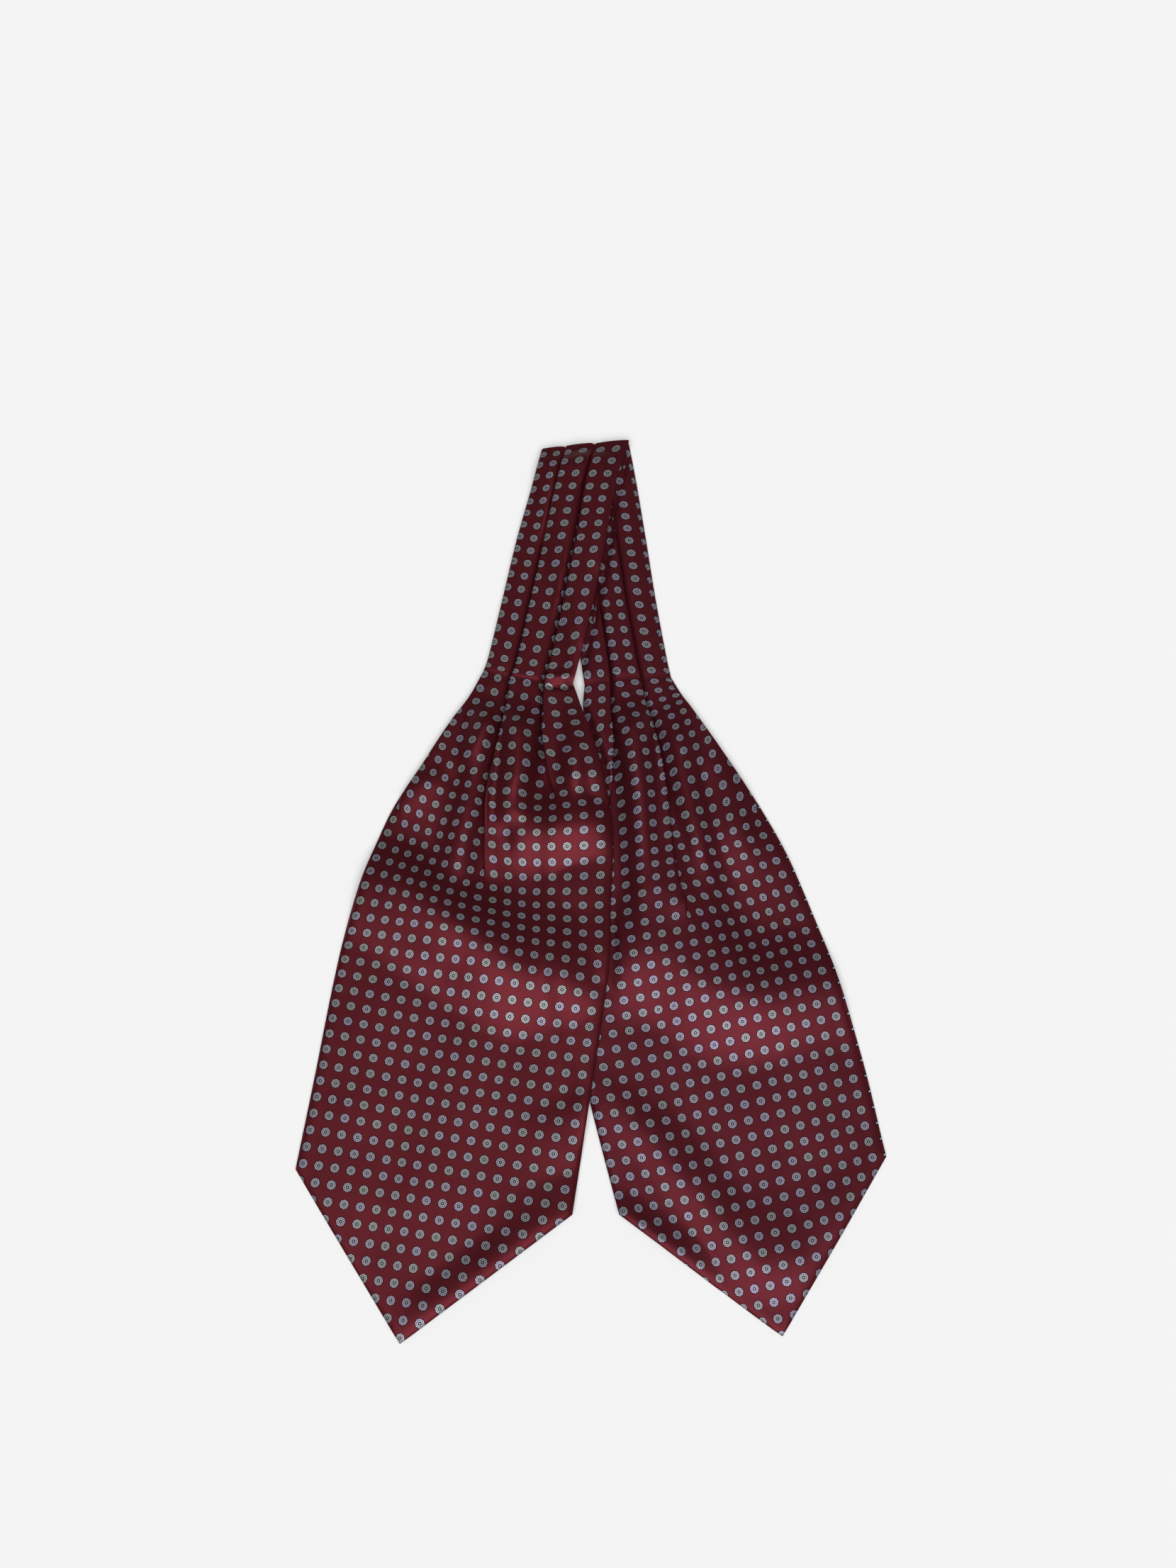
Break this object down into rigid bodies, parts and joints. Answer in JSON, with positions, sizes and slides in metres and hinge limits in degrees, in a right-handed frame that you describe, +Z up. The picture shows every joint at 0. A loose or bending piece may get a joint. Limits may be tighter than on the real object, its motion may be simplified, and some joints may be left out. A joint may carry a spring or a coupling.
{
  "type": "silk cravat",
  "caption": "Silk cravat laid flat and folded at the back of the neck, with pleated neck stretches and wide pointed blades.",
  "frame": {"origin": "middle of the laid-out cravat's length and width, on the surface it lies on", "axes": "+Y runs from the two points to the fold at the back of the neck, +X to the right as seen from above with the points nearest, +Z up"},
  "size_m": [0.3342, 0.5657, 0.0117],
  "materials": {
    "silk_face": "printed silk twill, burgundy with small pale blue rosettes, soft sheen",
    "silk_reverse": "reverse side of the same printed silk twill, soft sheen"
  },
  "bodies": {
    "root": {"left_blade": "silk_face", "left_neck_band": "silk_face", "right_blade": "silk_reverse", "right_neck_band": "silk_reverse"}
  },
  "joints": []
}
